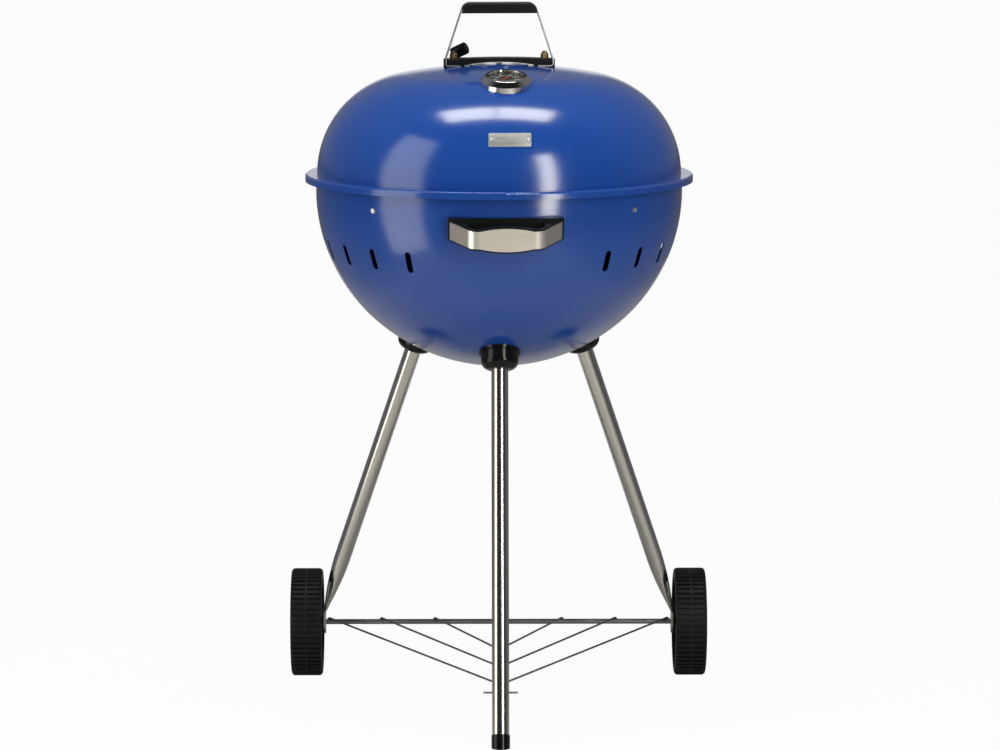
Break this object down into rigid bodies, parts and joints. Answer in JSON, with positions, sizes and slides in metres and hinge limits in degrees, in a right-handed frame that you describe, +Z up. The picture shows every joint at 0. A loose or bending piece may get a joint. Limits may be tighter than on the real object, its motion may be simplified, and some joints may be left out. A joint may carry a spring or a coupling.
{
  "type": "kettle charcoal grill",
  "caption": "Free-standing kettle charcoal grill: enamelled bowl and lift-off lid with damper and thermometer, on leaning tube legs with wheels at the back and a wire rack",
  "frame": {"origin": "point on the floor below the kettle's upright axis, centred between the feet round it", "axes": "+Z up along the kettle axis; -Y to the front, where the handle and the single front leg are; +X to the right seen from the front"},
  "size_m": [0.6426, 0.6524, 1.0546],
  "materials": {
    "enamel": "gloss",
    "moulded_black": "satin",
    "tread_black": "matte",
    "stainless": "brushed",
    "wire": "satin",
    "grate_steel": "satin",
    "fastener": "satin",
    "gilt_nut": "satin",
    "damper_sheet": "satin",
    "bezel_chrome": "polished",
    "dial_face": "matte",
    "pointer_red": "satin",
    "window": "polished"
  },
  "bodies": {
    "frame": {"bowl": "enamel", "front_handle_bracket": "moulded_black", "leg_socket_front": "moulded_black", "leg_socket_left": "moulded_black", "leg_socket_right": "moulded_black", "front_foot": "moulded_black", "axle_caps": "moulded_black", "front_handle_strap": "stainless", "front_leg": "stainless", "left_leg": "stainless", "right_leg": "stainless", "axle": "wire", "axle_washers": "fastener", "bottom_rack": "wire", "rack_pin": "wire", "grate_brackets": "fastener", "grate_bracket_screws": "fastener", "front_handle_screws": "fastener", "socket_bolts": "fastener"},
    "lid": {"lid": "enamel", "lid_handle_strap": "stainless", "lid_handle_base": "moulded_black", "lid_handle_grip": "moulded_black", "lid_handle_bolts": "fastener", "lid_handle_nuts": "gilt_nut", "damper_rivet": "damper_sheet", "thermometer_bezel": "bezel_chrome", "thermometer_dial": "dial_face", "thermometer_glass": "window", "thermometer_stem": "bezel_chrome", "thermometer_nut": "fastener"},
    "damper": {"damper": "enamel", "damper_knob": "moulded_black", "damper_screw": "fastener"},
    "pointer": {"thermometer_pointer": "pointer_red"},
    "wheel_left": {"wheel_left": "tread_black"},
    "wheel_right": {"wheel_right": "tread_black"},
    "cooking_grate": {"cooking_grate": "grate_steel"},
    "charcoal_grate": {"charcoal_grate": "wire"}
  },
  "joints": [
    {"name": "lid_lift", "type": "slide", "parent": "frame", "child": "lid", "axis": [0, 0, 1], "range_m": [0, 0.25]},
    {"name": "damper_turn", "type": "hinge", "parent": "lid", "child": "damper", "pos_m": [0, 0, 0.96186], "axis": [0, 0, -1], "range_deg": [0, 45]},
    {"name": "pointer_turn", "type": "hinge", "parent": "lid", "child": "pointer", "pos_m": [0.00904, -0.15674, 0.94633], "axis": [-0.0139, 0.2404, -0.9706], "range_deg": [0, 270], "stiffness_Nm_per_rad": 0.0005},
    {"name": "wheel_left_spin", "type": "hinge", "parent": "frame", "child": "wheel_left", "pos_m": [-0.297, 0.15335, 0.0833], "axis": [1, 0, 0], "continuous": true},
    {"name": "wheel_right_spin", "type": "hinge", "parent": "frame", "child": "wheel_right", "pos_m": [0.297, 0.15335, 0.0833], "axis": [1, 0, 0], "continuous": true},
    {"name": "cooking_grate_lift", "type": "slide", "parent": "frame", "child": "cooking_grate", "axis": [0, 0, 1], "range_m": [0, 0.025]},
    {"name": "charcoal_grate_lift", "type": "slide", "parent": "frame", "child": "charcoal_grate", "axis": [0, 0, 1], "range_m": [0, 0.1]}
  ]
}
